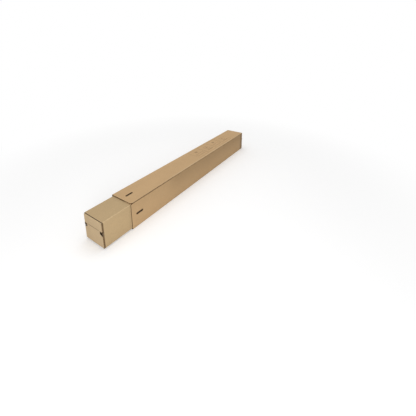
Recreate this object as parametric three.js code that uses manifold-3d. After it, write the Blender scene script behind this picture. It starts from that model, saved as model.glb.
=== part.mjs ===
// A telescopic mailing box: two long square sleeves of corrugated board, the inner one sliding in the outer one.
// Each sleeve is a folded blank with a seam flap glued along one long edge, and is shut at one end by two dust
// flaps and a closing flap that swings on the bottom wall's fold and tucks in under the top wall.
// Millimetres. X is the width, +Y runs to the outer sleeve's shut end, +Z is up. The origin is at the middle of
// the bottom of the whole box.
import * as THREE from 'three';
import { mergeVertices } from 'three/addons/utils/BufferGeometryUtils.js';
import Module from 'manifold-3d';

const wasm = await Module();
wasm.setup();

// Overall sizes
const outerWidth = 110;
const outerHeight = 110;
const outerLength = 935;
const shownLength = 120;

// Board and folds
const board = 3;
const foldRadius = 2.6;
const seamFlapThickness = 1.6;
const seamFlapWidth = 35;
const seamFlapSetback = 32;
const touchGap = 0.3;

// Where a raw edge crosses the flutes, the board is open between its two liners
const liner = 0.45;
const openEdgeDepth = 3;

// Sliding fit of the inner sleeve. It is shorter by the end room, so that pushed right in it clears the outer
// sleeve's tuck tab.
const slideClearance = 0.7;
const endRoom = 40;

// Closing flap and its tuck tab
const flapSideInset = 1.5;
const tuckLength = 22;
const tuckSwingClearance = 0.85;
const tuckSideClearance = 2;
const tuckCornerCut = 9;

// Dust flaps
const dustFlapGapAtMiddle = 8;
const dustFlapClearance = 0.6;
const dustFlapTaper = 12;

// Press line across the closing flap: a notch in each side edge and a slit between them
const pressLineDrop = 34;
const notchDepth = 12.5;
const notchInnerHeight = 9;
const notchEdgeHeight = 14;
const pressSlitLength = 50;
const pressSlitWidth = 0.8;
const windowMargin = 2;

// Lock slots near the outer sleeve's mouth: a low arch between two round ends. The inner sleeve's, which show under
// them, are slimmer, longer and set a little further in, so that a small error in the pull still lines them up.
const slotFromMouth = 37;
const innerSlotSetback = 2;
const outerSlot = { length: 24, rise: 2, width: 4.8, endRadius: 3.6 };
const innerSlot = { length: 28, rise: 4, width: 3.4, endRadius: 2.9 };

// Rounded corner of the outer sleeve's overlapping top wall at the mouth
const mouthCornerRadius = 9;

const arcSteps = 5;
const bulbSteps = 14;
const over = 1;

// Sizes of the inner sleeve, from the room in the outer one. It rests on the outer sleeve's bottom wall.
const innerWidth = outerWidth - 2 * board - 2 * slideClearance;
const innerHeight = outerHeight - 2 * board - seamFlapThickness - slideClearance - touchGap;
const innerLength = outerLength - endRoom;
const innerBottom = board + touchGap;

// Places along the box
const nearEnd = -(outerLength + shownLength) / 2;
const farEnd = nearEnd + shownLength + outerLength;
const mouth = nearEnd + shownLength;

const outerSize = { width: outerWidth, height: outerHeight, length: outerLength, seamSide: -1, seamAtTop: true };
const innerSize = { width: innerWidth, height: innerHeight, length: innerLength, seamSide: -1, seamAtTop: false };

function arc(centreX, centreY, radius, fromAngle, toAngle, steps = arcSteps) {
  const points = [];
  for (let step = 0; step <= steps; step += 1) {
    const angle = fromAngle + ((toAngle - fromAngle) * step) / steps;
    points.push(new THREE.Vector2(centreX + radius * Math.cos(angle), centreY + radius * Math.sin(angle)));
  }
  return points;
}

function circle(centreX, centreY, radius, count) {
  return arc(centreX, centreY, radius, 0, 2 * Math.PI, count).slice(0, count);
}

function point(x, y) {
  return new THREE.Vector2(x, y);
}

function toSolid(geometry) {
  geometry.deleteAttribute('normal');
  geometry.deleteAttribute('uv');
  const merged = mergeVertices(geometry, 1e-5);
  const mesh = new wasm.Mesh({
    numProp: 3,
    vertProperties: new Float32Array(merged.attributes.position.array),
    triVerts: new Uint32Array(merged.index.array),
  });
  return new wasm.Manifold(mesh);
}

function toGeometry(solid) {
  const mesh = solid.getMesh();
  const geometry = new THREE.BufferGeometry();
  geometry.setAttribute('position', new THREE.BufferAttribute(new Float32Array(mesh.vertProperties), 3));
  geometry.setIndex(new THREE.BufferAttribute(new Uint32Array(mesh.triVerts), 1));
  geometry.computeVertexNormals();
  return geometry;
}

// An outline in X and Z, made solid along Y
function alongY(outline, fromY, toY) {
  const geometry = new THREE.ExtrudeGeometry(new THREE.Shape(outline), { depth: toY - fromY, bevelEnabled: false });
  geometry.rotateX(Math.PI / 2);
  geometry.translate(0, toY, 0);
  return toSolid(geometry);
}

// An outline in Y and Z, made solid along X
function alongX(outline, fromX, toX) {
  const geometry = new THREE.ExtrudeGeometry(new THREE.Shape(outline), { depth: toX - fromX, bevelEnabled: false });
  geometry.rotateX(Math.PI / 2);
  geometry.rotateZ(Math.PI / 2);
  geometry.translate(fromX, 0, 0);
  return toSolid(geometry);
}

// An outline in X and Y, made solid along Z
function alongZ(outline, fromZ, toZ) {
  const geometry = new THREE.ExtrudeGeometry(new THREE.Shape(outline), { depth: toZ - fromZ, bevelEnabled: false });
  geometry.translate(0, 0, fromZ);
  return toSolid(geometry);
}

function rectangle(lowX, lowY, highX, highY) {
  return [point(lowX, lowY), point(highX, lowY), point(highX, highY), point(lowX, highY)];
}

// Outside of a sleeve's section. Three corners are folds. At the seam the wall that ends in a raw edge lies over
// the rounded fold of the wall beside it, with a small groove between them.
function sectionOutside(size) {
  const half = size.width / 2;
  const top = size.height;
  const quarter = Math.PI / 2;
  const foldBelow = top - board;
  const outline = [
    ...arc(-half + foldRadius, foldRadius, foldRadius, 2 * quarter, 3 * quarter),
    ...arc(half - foldRadius, foldRadius, foldRadius, -quarter, 0),
    ...arc(half - foldRadius, foldBelow - foldRadius, foldRadius, 0, quarter),
    point(half, foldBelow),
    point(half, top),
    ...arc(-half + foldRadius, top - foldRadius, foldRadius, quarter, 2 * quarter),
  ];
  return placeSeam(outline, size);
}

// Inside of a sleeve's section, with the seam flap's step
function sectionInside(size) {
  const wall = size.width / 2 - board;
  const ceiling = size.height - board;
  const flapFace = ceiling - seamFlapThickness;
  const flapEdge = size.width / 2 - seamFlapWidth;
  const outline = [
    point(-wall, board),
    point(wall, board),
    point(wall, flapFace),
    point(flapEdge, flapFace),
    point(flapEdge, ceiling),
    point(-wall, ceiling),
  ];
  return placeSeam(outline, size);
}

// The outlines above have the seam at the top right: this turns them to the seam's own side and level
function placeSeam(outline, size) {
  return outline.map((corner) => point(
    corner.x * size.seamSide,
    size.seamAtTop ? corner.y : size.height - corner.y,
  ));
}

// The seam flap's own section, to cut it short at the shut end
function seamFlapSection(size) {
  const ceiling = size.height - board;
  const flapEdge = size.width / 2 - seamFlapWidth;
  const wall = size.width / 2 - board;
  return placeSeam(rectangle(flapEdge - over, ceiling - seamFlapThickness - over, wall, ceiling), size);
}

// Heights at a shut end, above the sleeve's bottom, and the tuck tab's slope. The closing flap swings on the inside
// corner of its fold. The tab slopes down just enough for its end to pass under the top wall, and the dust flaps
// stop below the lowest way of its underside.
function shutEnd(size) {
  const hinge = board;
  const ceiling = size.height - board;
  const tuckTop = ceiling - touchGap;
  const fold = point(foldRadius, tuckTop - foldRadius);
  const arm = fold.clone().sub(point(board, hinge));
  const tab = point(tuckLength, foldRadius);
  const reach = ceiling - hinge - tuckSwingClearance;
  const cosine = (reach ** 2 - arm.lengthSq() - tab.lengthSq()) / (2 * arm.length() * tab.length());
  const slope = Math.acos(cosine) - (arm.angle() - tab.angle());
  const underTab = arm.dot(point(Math.sin(slope), Math.cos(slope))) + foldRadius - board;
  return {
    hinge,
    tuckTop,
    fold,
    slope,
    dustBottom: hinge + dustFlapClearance,
    dustTop: hinge + underTab - dustFlapClearance,
    pressLine: tuckTop - pressLineDrop,
  };
}

// The open edge of the wall that ends at the seam: its flutes run round the box, so they open here
function seamEdgeSection(size) {
  const half = size.width / 2;
  return placeSeam(rectangle(half - openEdgeDepth, size.height - board + liner, half + over, size.height - liner), size);
}

// The four walls, shut end at y = 0. They start just behind the closing flap, and the seam flap further in.
function walls(size) {
  const start = board + touchGap;
  return alongY(sectionOutside(size), start, size.length)
    .subtract(alongY(sectionInside(size), start - over, size.length + over))
    .subtract(alongY(seamFlapSection(size), start - over, seamFlapSetback))
    .subtract(alongY(seamEdgeSection(size), start - over, size.length + over));
}

// One dust flap, on the right: folded in from the side wall, with a window behind the closing flap's notch
function dustFlap(size) {
  const half = size.width / 2;
  const end = shutEnd(size);
  const front = board + touchGap;
  const back = front + board;
  const freeEdge = dustFlapGapAtMiddle / 2;
  const taper = [
    point(freeEdge - over, end.dustTop + over),
    point(freeEdge - over, end.dustTop - dustFlapTaper),
    point(freeEdge, end.dustTop - dustFlapTaper),
    point(half - board, end.dustTop),
    point(half - board, end.dustTop + over),
  ];
  const window = rectangle(
    half - flapSideInset - notchDepth - windowMargin,
    end.pressLine - notchEdgeHeight - windowMargin,
    half - board - windowMargin,
    end.pressLine + windowMargin,
  );
  return alongZ(rectangle(freeEdge, front, half, back), end.dustBottom, end.dustTop)
    .subtract(alongY(taper, front - over, back + over))
    .subtract(alongY(window, front - over, back + over));
}

// What is cut off the side walls' outer corner so that the fold into the dust flap is round
function foldRounding(size) {
  const half = size.width / 2;
  const end = shutEnd(size);
  const front = board + touchGap;
  const quarter = Math.PI / 2;
  const corner = [
    point(half + over, front - over),
    point(half + over, front + foldRadius),
    ...arc(half - foldRadius, front + foldRadius, foldRadius, 0, -quarter),
    point(half - foldRadius, front - over),
  ];
  return alongZ(corner, end.dustBottom, end.dustTop);
}

// Room under the hinge line for the closing flap's rounded foot as it swings
function footRoom(size) {
  const end = shutEnd(size);
  const radius = board + touchGap;
  const outline = [
    point(board - over, end.hinge + touchGap),
    point(board + radius, end.hinge + touchGap),
    ...arc(board, end.hinge, radius, 0, -Math.PI / 2),
    point(board, end.hinge - radius - over),
    point(board - over, end.hinge - radius - over),
  ];
  return alongX(outline, -size.width / 2 - over, size.width / 2 + over);
}

function mirrored(solid) {
  return solid.mirror([1, 0, 0]);
}

// A sleeve with its shut end at y = 0 and its open end at y = length
function sleeve(size) {
  let solid = walls(size);
  for (const turn of [(shape) => shape, mirrored]) {
    solid = solid.add(turn(dustFlap(size))).subtract(turn(foldRounding(size)));
  }
  return solid.subtract(footRoom(size));
}

// Side view of the closing flap: round foot, panel, top fold and the tuck tab sloping down behind it
function flapSideView(size) {
  const end = shutEnd(size);
  const quarter = Math.PI / 2;
  const outward = point(Math.sin(end.slope), Math.cos(end.slope));
  const along = point(Math.cos(end.slope), -Math.sin(end.slope));
  const tabEnd = end.fold.clone().addScaledVector(outward, foldRadius).addScaledVector(along, tuckLength);
  const tabBelow = tabEnd.clone().addScaledVector(outward, -board);
  const underTab = tabBelow.y + (tabBelow.x - board) * Math.tan(end.slope);
  return [
    ...arc(board, end.hinge, board, 3 * quarter, 2 * quarter),
    ...arc(end.fold.x, end.fold.y, foldRadius, 2 * quarter, quarter - end.slope),
    tabEnd,
    tabBelow,
    point(board, underTab),
  ];
}

// Side view of the flap's panel alone, for the stretches beside the tuck tab
function panelSideView(size) {
  const end = shutEnd(size);
  const quarter = Math.PI / 2;
  return [
    ...arc(board, end.hinge, board, 3 * quarter, 2 * quarter),
    point(0, end.tuckTop),
    point(board, end.tuckTop),
  ];
}

// A notch in the closing flap's right edge: level above, upright inside, slanting back to the edge below
function notch(size) {
  const edge = size.width / 2 - flapSideInset;
  const end = shutEnd(size);
  const outline = [
    point(edge + over, end.pressLine),
    point(edge - notchDepth, end.pressLine),
    point(edge - notchDepth, end.pressLine - notchInnerHeight),
    point(edge, end.pressLine - notchEdgeHeight),
    point(edge + over, end.pressLine - notchEdgeHeight),
  ];
  return alongY(outline, -over, board + over);
}

// The open edge down the closing flap's right side
function flapEdge(size) {
  const edge = size.width / 2 - flapSideInset;
  const end = shutEnd(size);
  const outline = rectangle(edge - openEdgeDepth, end.hinge, edge + over, end.tuckTop - foldRadius);
  return alongY(outline, liner, board - liner);
}

function pressSlit(size) {
  const level = shutEnd(size).pressLine - pressSlitWidth / 2;
  const reach = (pressSlitLength - pressSlitWidth) / 2;
  const radius = pressSlitWidth / 2;
  const quarter = Math.PI / 2;
  const outline = [
    ...arc(reach, level, radius, -quarter, quarter),
    ...arc(-reach, level, radius, quarter, 3 * quarter),
  ];
  return alongY(outline, -over, board + over);
}

// The slanting cut across each free corner of the tuck tab
function tabCorner(size) {
  const side = size.width / 2 - board - tuckSideClearance;
  const { slope } = shutEnd(size);
  const back = foldRadius + tuckLength * Math.cos(slope) + foldRadius * Math.sin(slope);
  const outline = [
    point(side - tuckCornerCut, back + over),
    point(side - tuckCornerCut, back),
    point(side, back - tuckCornerCut),
    point(side + over, back - tuckCornerCut),
    point(side + over, back + over),
  ];
  return alongZ(outline, board, size.height);
}

// The closing flap, shut, with its outside face at y = 0
function closingFlap(size) {
  const panelHalf = size.width / 2 - flapSideInset;
  const tabHalf = size.width / 2 - board - tuckSideClearance;
  let solid = alongX(flapSideView(size), -tabHalf, tabHalf)
    .add(alongX(panelSideView(size), tabHalf - over, panelHalf))
    .add(alongX(panelSideView(size), -panelHalf, -tabHalf + over))
    .subtract(pressSlit(size));
  for (const turn of [(shape) => shape, mirrored]) {
    solid = solid.subtract(turn(flapEdge(size))).subtract(turn(notch(size))).subtract(turn(tabCorner(size)));
  }
  return solid;
}

// Outline of a lock slot: a low arch between two round ends. Along is the box's length, across the wall's width.
function slotOutline(slot) {
  const halfLength = slot.length / 2;
  const radius = (halfLength ** 2 + slot.rise ** 2) / (2 * slot.rise);
  const halfAngle = Math.asin(halfLength / radius);
  const up = Math.PI / 2;
  const centre = slot.rise - radius;
  return [
    ...arc(0, centre, radius + slot.width / 2, up + halfAngle, up - halfAngle, 2 * arcSteps),
    ...arc(0, centre, radius - slot.width / 2, up - halfAngle, up + halfAngle, 2 * arcSteps),
  ];
}

// The slot's cutter, standing on its outline, through both walls. Placed by the caller on a wall.
function slotCutter(slot, depth) {
  const upright = alongZ(slotOutline(slot), -depth, over);
  const ends = [-1, 1].map((side) => circle((side * slot.length) / 2, 0, slot.endRadius, bulbSteps));
  return ends.reduce((cutter, outline) => cutter.add(alongZ(outline, -depth, over)), upright);
}

// Both lock slots of a sleeve, in the box's own frame: one in the top wall, one in the right wall
function lockSlots(slot, along) {
  const depth = 2 * board + seamFlapThickness + slideClearance + over;
  const top = slotCutter(slot, depth).rotate([0, 0, 90]).translate([0, along, outerHeight]);
  const side = slotCutter(slot, depth).rotate([90, 0, 90]).translate([outerWidth / 2, along, outerHeight / 2]);
  return top.add(side);
}

// The die-cut round corner of the top wall, over the seam flap, at the outer sleeve's mouth
function mouthCorner() {
  const right = outerWidth / 2;
  const centreX = right - mouthCornerRadius;
  const centreY = mouth + mouthCornerRadius;
  const outline = [
    point(right + over, mouth - over),
    point(right + over, centreY),
    ...arc(centreX, centreY, mouthCornerRadius, 0, -Math.PI / 2),
    point(centreX, mouth - over),
  ];
  return alongZ(outline, outerHeight - board, outerHeight + over);
}

function kraft(colour) {
  return new THREE.MeshStandardMaterial({ color: colour, roughness: 0.9, metalness: 0 });
}

function node(name, solid, colour) {
  const mesh = new THREE.Mesh(toGeometry(solid), kraft(colour));
  mesh.name = name;
  return mesh;
}

// The outer sleeve is made with its shut end at y = 0, so it is turned half round to face the other way
function placeOuter(solid) {
  return solid.rotate([0, 0, 180]).translate([0, farEnd, 0]);
}

function placeInner(solid) {
  return solid.translate([0, nearEnd, innerBottom]);
}

const slotPlace = mouth + slotFromMouth;
const outerSlots = lockSlots(outerSlot, slotPlace);
const innerSlots = lockSlots(innerSlot, slotPlace + innerSlotSetback);
const outerSleeve = placeOuter(sleeve(outerSize)).subtract(outerSlots).subtract(mouthCorner());
const innerSleeve = placeInner(sleeve(innerSize)).subtract(innerSlots);

const group = new THREE.Group();
group.add(node('outer_sleeve', outerSleeve, 0xb7976f));
group.add(node('outer_end_flap', placeOuter(closingFlap(outerSize)), 0xbda583));
group.add(node('inner_sleeve', innerSleeve, 0xbaa178));
group.add(node('inner_end_flap', placeInner(closingFlap(innerSize)), 0xbda583));

export default group;
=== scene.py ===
# %% [markdown]
# # A telescopic mailing box in kraft board
#
# The box is two long square sleeves of brown corrugated board. The inner sleeve slides in the outer one,
# and each is shut at its outer end by a flap that tucks in. The walls, flaps and slots come ready made,
# at their real size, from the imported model. This lesson gives them the look of paper: fibres, faint flute
# lines, rubbed folds, cut edges and a printed panel. Then it models what is too fine for the packed
# model: the wavy paper in the open edges, and four small ears of board.

# %% Load the fixed frame
import bmesh
import bpy
import math
from mathutils import Matrix, Vector


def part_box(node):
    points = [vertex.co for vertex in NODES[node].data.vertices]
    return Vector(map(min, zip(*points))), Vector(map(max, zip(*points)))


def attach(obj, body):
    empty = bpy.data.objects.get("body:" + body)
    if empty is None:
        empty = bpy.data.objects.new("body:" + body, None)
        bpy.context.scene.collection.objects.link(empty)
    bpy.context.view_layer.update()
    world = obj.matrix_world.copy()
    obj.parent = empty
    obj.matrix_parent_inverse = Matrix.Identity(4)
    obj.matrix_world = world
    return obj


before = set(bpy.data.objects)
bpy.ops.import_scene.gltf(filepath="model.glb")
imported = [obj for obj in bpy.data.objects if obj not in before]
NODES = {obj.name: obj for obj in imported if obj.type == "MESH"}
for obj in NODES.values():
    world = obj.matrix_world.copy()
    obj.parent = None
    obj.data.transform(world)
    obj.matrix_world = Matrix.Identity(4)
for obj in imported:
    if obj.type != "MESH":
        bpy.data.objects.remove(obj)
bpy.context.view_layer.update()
print("nodes:", sorted(NODES))

# %% [markdown]
# ## Sizes
#
# Every pattern below is a place on the board, such as a fold, a raw edge or the printed panel. The places
# could be typed in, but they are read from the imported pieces' own boxes, so that the finish stays on the
# right spot. Only what a box can't tell is a number here, such as the board's make-up and the flutes'
# pitch, and a point that is nearer a face than ON_FACE counts as lying on it. Patterns are worked out in
# millimetres because paper is: a fibre is half a millimetre wide.

# %% Sizes of the sleeves and of the board
MM = 0.001
BOARD = 3.0
LINER = 0.45
FLUTE_PITCH = 6.5
FOLD_RADIUS = 2.6
ON_FACE = 0.1


def millimetre_box(node):
    """The node's lowest and highest corner, in millimetres."""
    low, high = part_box(node)
    return low / MM, high / MM


OUTER_LOW, OUTER_HIGH = millimetre_box("outer_sleeve")
INNER_LOW, INNER_HIGH = millimetre_box("inner_sleeve")
for title, low, high in (("outer", OUTER_LOW, OUTER_HIGH), ("inner", INNER_LOW, INNER_HIGH)):
    size = high - low
    print(f"{title} sleeve: {size.x:.1f} wide, {size.z:.1f} high, {size.y:.1f} long")

# %% [markdown]
# ## Colours
#
# Kraft liner is unbleached paper, a warm grey brown. A colour could be given to the shader as linear
# numbers, but those are hard to read, so each is named once as the screen value that a paint programme
# would show, and a helper turns it into linear light.


# %% Colours of the paper
def screen_colour(code):
    """A screen colour such as c0a47e, as the linear red, green, blue and alpha that shaders use."""
    channels = [int(code[start:start + 2], 16) / 255 for start in (0, 2, 4)]
    linear = [c / 12.92 if c <= 0.04045 else ((c + 0.055) / 1.055) ** 2.4 for c in channels]
    return (*linear, 1.0)


OUTER_KRAFT = screen_colour("c2a177")
INNER_KRAFT = screen_colour("baa079")
# The inner flap's liner, painted lighter because its face catches more light than the walls
LIT_FLAP_KRAFT = screen_colour("bfa682")
INSIDE_LINER = screen_colour("a98a60")
CUT_PAPER = screen_colour("785837")
# The core's dark colour is partly the medium's own and partly painted shade of the flute hollows
CORE_PAPER_AND_SHADE = screen_colour("3f2c19")
RUBBED_PAPER = screen_colour("d3bb94")
DARK_FLECK = screen_colour("7c5d3b")
PALE_FLECK = screen_colour("dccaa6")
# Paler raw edge along the outer seam, painted light against the groove's shade
SEAM_PAINTED_LIGHT = screen_colour("bb9a6f")
# Brown for painted shade, and for the far end's darker band
SHADE_BROWN = screen_colour("523a20")
GAP_SHADE = screen_colour("2c2017")
INK = screen_colour("6d5136")
MEDIUM_PAPER = screen_colour("8f6e48")
print("the outer liner as linear light:", [round(channel, 3) for channel in OUTER_KRAFT])

# %% [markdown]
# ## A short way to write shader nodes
#
# A material is a tree of nodes and links. It can be drawn by hand in the shader editor, or written with
# one line per node and one per link, which soon hides the idea behind the wiring. These helpers add a
# node and plug in its inputs in one go. A plain number or colour is set on the socket, and anything else
# is linked to it.


# %% Helpers for shader nodes
def plug(tree, value, socket):
    """Links a socket, or sets a plain value."""
    if isinstance(value, bpy.types.NodeSocket):
        tree.links.new(value, socket)
    else:
        socket.default_value = value


def maths(tree, operation, *values, clamp=False):
    """A Math node, and its result."""
    node = tree.nodes.new("ShaderNodeMath")
    node.operation = operation
    node.use_clamp = clamp
    for value, socket in zip(values, node.inputs):
        plug(tree, value, socket)
    return node.outputs[0]


def joined(tree, operation, values):
    """The values joined one after another by that operation."""
    total = values[0]
    for value in values[1:]:
        total = maths(tree, operation, total, value)
    return total


def sum_of(tree, *values):
    """All the values added up."""
    return joined(tree, "ADD", values)


def product_of(tree, *values):
    """All the values multiplied."""
    return joined(tree, "MULTIPLY", values)


def largest(tree, *values):
    """The largest of the values."""
    return joined(tree, "MAXIMUM", values)


def smallest(tree, *values):
    """The smallest of the values."""
    return joined(tree, "MINIMUM", values)


def minus(tree, first, second):
    """The first value less the second."""
    return maths(tree, "SUBTRACT", first, second)


def apart(tree, first, second):
    """How far the two values lie apart."""
    return maths(tree, "ABSOLUTE", minus(tree, first, second))


def ramp(tree, value, start, end, low=0.0, high=1.0):
    """Goes smoothly from low to high as the value goes from start to end."""
    node = tree.nodes.new("ShaderNodeMapRange")
    node.interpolation_type = "SMOOTHSTEP"
    for entry, socket in zip((value, start, end, low, high), node.inputs):
        plug(tree, entry, socket)
    return node.outputs[0]


def band(tree, value, rise, fall):
    """Goes up to 1 between the two values of rise, and back to 0 between the two values of fall."""
    return product_of(tree, ramp(tree, value, *rise), ramp(tree, value, *fall, 1.0, 0.0))


def mix_colour(tree, factor, first, second, blend="MIX"):
    """Two colours mixed by the factor."""
    node = tree.nodes.new("ShaderNodeMix")
    node.data_type = "RGBA"
    node.blend_type = blend
    factor_socket, first_socket, second_socket = node.inputs["Factor"], node.inputs[6], node.inputs[7]
    plug(tree, factor, factor_socket)
    plug(tree, first, first_socket)
    plug(tree, second, second_socket)
    return node.outputs[2]


def tint(tree, colour, paint, mask, weight):
    """The colour tinted with paint, as strongly as the mask and the weight say."""
    return mix_colour(tree, product_of(tree, mask, weight), colour, paint)


def stretched(tree, place, cell):
    """The place measured in cells of that many millimetres along X, Y and Z."""
    node = tree.nodes.new("ShaderNodeVectorMath")
    node.operation = "DIVIDE"
    plug(tree, place, node.inputs[0])
    plug(tree, cell, node.inputs[1])
    return node.outputs[0]


def noise(tree, place, cell, detail=2.0, roughness=0.5):
    """Soft random clouds from 0 to 1, each about a cell wide."""
    node = tree.nodes.new("ShaderNodeTexNoise")
    plug(tree, stretched(tree, place, cell), node.inputs["Vector"])
    plug(tree, 1.0, node.inputs["Scale"])
    plug(tree, detail, node.inputs["Detail"])
    plug(tree, roughness, node.inputs["Roughness"])
    return node.outputs["Fac"]


def axes(tree, place):
    """The place's X, Y and Z."""
    node = tree.nodes.new("ShaderNodeSeparateXYZ")
    plug(tree, place, node.inputs[0])
    return node.outputs[0], node.outputs[1], node.outputs[2]


def new_group(name, inputs, outputs):
    """A node group with named inputs and outputs, ready to be filled."""
    group = bpy.data.node_groups.new(name, "ShaderNodeTree")
    for title, kind in inputs:
        group.interface.new_socket(title, in_out="INPUT", socket_type=f"NodeSocket{kind}")
    for title, kind in outputs:
        group.interface.new_socket(title, in_out="OUTPUT", socket_type=f"NodeSocket{kind}")
    return group, group.nodes.new("NodeGroupInput").outputs, group.nodes.new("NodeGroupOutput").inputs


def use_group(tree, group, **values):
    """Places the group in a tree, and gives its outputs."""
    node = tree.nodes.new("ShaderNodeGroup")
    node.node_tree = group
    for title, value in values.items():
        plug(tree, value, node.inputs[title.replace("_", " ")])
    return node.outputs


print("helpers for shader nodes are ready")

# %% [markdown]
# ## Paper fibres
#
# Kraft paper is a felt of fibres that mostly lie along the length of the paper machine's web, with slow
# clouds of lighter and darker pulp, and specks of bark and of bleached fibre. A scanned picture would
# repeat and would need unwrapping. Noise in three dimensions needs neither, because each wall cuts
# through the same solid pattern. The fibres' noise is drawn out along Y, which is the way the web ran on
# this box. Voronoi cells give the specks: each cell has one speck at its centre and a random colour,
# which says whether the speck is dark or pale.

# %% Group: paper fibres
WEB_CELL = (70.0, 160.0, 70.0)
CLOUD_CELL = (7.0, 14.0, 7.0)
FIBRE_CELL = (0.55, 5.0, 0.55)
SPECK_CELL = (2.6, 4.4, 2.6)
WEB_WEIGHT = 0.14
CLOUD_WEIGHT = 0.12
FIBRE_WEIGHT = 0.16
SPECK_EDGE = (0.10, 0.26)
DARK_ABOVE = 0.72
PALE_BELOW = 0.22


def swing(tree, pattern, weight):
    """How far the pattern is from its middle, times the weight."""
    return product_of(tree, minus(tree, pattern, 0.5), weight)


def make_fibres():
    group, given, result = new_group(
        "Paper fibres",
        [("Place", "Vector")],
        [("Tone", "Float"), ("Dark specks", "Float"), ("Pale specks", "Float"), ("Height", "Float"),
         ("Clouds", "Float")],
    )
    place = given["Place"]
    web = noise(group, place, WEB_CELL, detail=3.0)
    clouds = noise(group, place, CLOUD_CELL, detail=4.0, roughness=0.6)
    fibres = noise(group, place, FIBRE_CELL, detail=3.0, roughness=0.6)
    tone = sum_of(
        group,
        swing(group, web, WEB_WEIGHT),
        swing(group, clouds, CLOUD_WEIGHT),
        swing(group, fibres, FIBRE_WEIGHT),
        1.0,
    )
    cells = group.nodes.new("ShaderNodeTexVoronoi")
    plug(group, stretched(group, place, SPECK_CELL), cells.inputs["Vector"])
    plug(group, 1.0, cells.inputs["Scale"])
    speck = ramp(group, cells.outputs["Distance"], *SPECK_EDGE, 1.0, 0.0)
    kind = group.nodes.new("ShaderNodeSeparateColor")
    plug(group, cells.outputs["Color"], kind.inputs[0])
    dark = maths(group, "GREATER_THAN", kind.outputs[0], DARK_ABOVE)
    pale = maths(group, "LESS_THAN", kind.outputs[0], PALE_BELOW)
    plug(group, tone, result["Tone"])
    plug(group, product_of(group, speck, dark), result["Dark specks"])
    plug(group, product_of(group, speck, pale), result["Pale specks"])
    plug(group, fibres, result["Height"])
    plug(group, clouds, result["Clouds"])
    return group


FIBRES = make_fibres()
print("group:", FIBRES.name, len(FIBRES.nodes), "nodes")

# %% [markdown]
# ## Washboard
#
# Between the two liners runs a wavy paper, the medium. The liner sinks a few hundredths of a millimetre
# between its crests, so board shows faint even lines that are called washboard. They could be modelled,
# but a line every 6.5 mm and so shallow is work for a bump. One sine along the wall gives it, and a slow
# noise keeps it from looking machined.

# %% Group: washboard
WANDER_CELL = (25.0, 25.0, 25.0)
WANDER = 1.6
DEPTH_CELL = (60.0, 45.0, 60.0)
DEPTH_SPREAD = (0.3, 0.7)
LEAST_DEPTH = 0.35


def make_washboard():
    group, given, result = new_group(
        "Washboard",
        [("Place", "Vector"), ("Along", "Float")],
        [("Height", "Float")],
    )
    wander = noise(group, given["Place"], WANDER_CELL)
    along = sum_of(group, given["Along"], product_of(group, wander, WANDER))
    turns = product_of(group, along, 2 * math.pi / FLUTE_PITCH)
    wave = maths(group, "MULTIPLY_ADD", maths(group, "SINE", turns), 0.5, 0.5)
    depth = ramp(group, noise(group, given["Place"], DEPTH_CELL), *DEPTH_SPREAD, LEAST_DEPTH, 1.0)
    plug(group, product_of(group, wave, depth), result["Height"])
    return group


WASHBOARD = make_washboard()
print("group:", WASHBOARD.name, len(WASHBOARD.nodes), "nodes")

# %% [markdown]
# ## Rubbed folds
#
# Folding stretches the liner, and handling rubs it, so folds and cut edges end up a little paler and
# furry, in patches. A pointiness mask finds edges on its own, but it needs a dense mesh, and these walls
# are a few long triangles. The material already knows how far each point is from the nearest fold, so the
# group only asks for that distance, and breaks the worn band up with two sizes of noise.

# %% Group: rubbed folds
WEAR_CELL = (9.0, 26.0, 9.0)
WEAR_SPREAD = 1.2
WEAR_SHIFT = -0.1
FUR_CELL = (0.9, 1.6, 0.9)
FUR_SPREAD = (0.25, 0.65)
LEAST_FUR = 0.35


def make_rub():
    group, given, result = new_group(
        "Rubbed folds",
        [("Place", "Vector"), ("Distance", "Float"), ("Reach", "Float")],
        [("Rub", "Float")],
    )
    patches = noise(group, given["Place"], WEAR_CELL, detail=3.0)
    fur = noise(group, given["Place"], FUR_CELL, detail=2.0)
    worn = maths(group, "MULTIPLY_ADD", patches, WEAR_SPREAD, WEAR_SHIFT)
    reach = product_of(group, given["Reach"], worn)
    strip = ramp(group, given["Distance"], 0.0, reach, 1.0, 0.0)
    broken = ramp(group, fur, *FUR_SPREAD, LEAST_FUR, 1.0)
    plug(group, maths(group, "MULTIPLY", strip, broken, clamp=True), result["Rub"])
    return group


RUB = make_rub()
print("group:", RUB.name, len(RUB.nodes), "nodes")

# %% [markdown]
# ## Cut edges
#
# Where a knife has cut the board, its make-up shows: a line of liner on each side, and between them the
# crushed ends of the medium. Their dark colour is partly the medium's own and partly painted shade of the
# open flute hollows. A separate strip of mesh could be laid on every edge. Instead the group is told how
# deep a point lies in the board, measured from the outside face, because only a cut edge lies between
# the two faces. It answers with the whole cut and with its dark core.

# %% Group: cut edges
CUT_SKIN = 0.12
CORE_START = 1.6 * LINER
CRUSH_CELL = (1.2, 1.2, 1.2)
CRUSH_SPREAD = (0.3, 0.6)
LEAST_CRUSH = 0.45


def make_cut():
    group, given, result = new_group(
        "Cut edges",
        [("Place", "Vector"), ("Depth", "Float")],
        [("Cut", "Float"), ("Core", "Float")],
    )
    depth = given["Depth"]
    cut = band(group, depth, (CUT_SKIN, 2 * CUT_SKIN), (BOARD - 2 * CUT_SKIN, BOARD - CUT_SKIN))
    core = band(group, depth, (LINER, CORE_START), (BOARD - CORE_START, BOARD - LINER))
    crush = noise(group, given["Place"], CRUSH_CELL, detail=3.0)
    crushed = ramp(group, crush, *CRUSH_SPREAD, LEAST_CRUSH, 1.0)
    plug(group, cut, result["Cut"])
    plug(group, product_of(group, core, crushed), result["Core"])
    return group


CUT = make_cut()
print("group:", CUT.name, len(CUT.nodes), "nodes")

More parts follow.
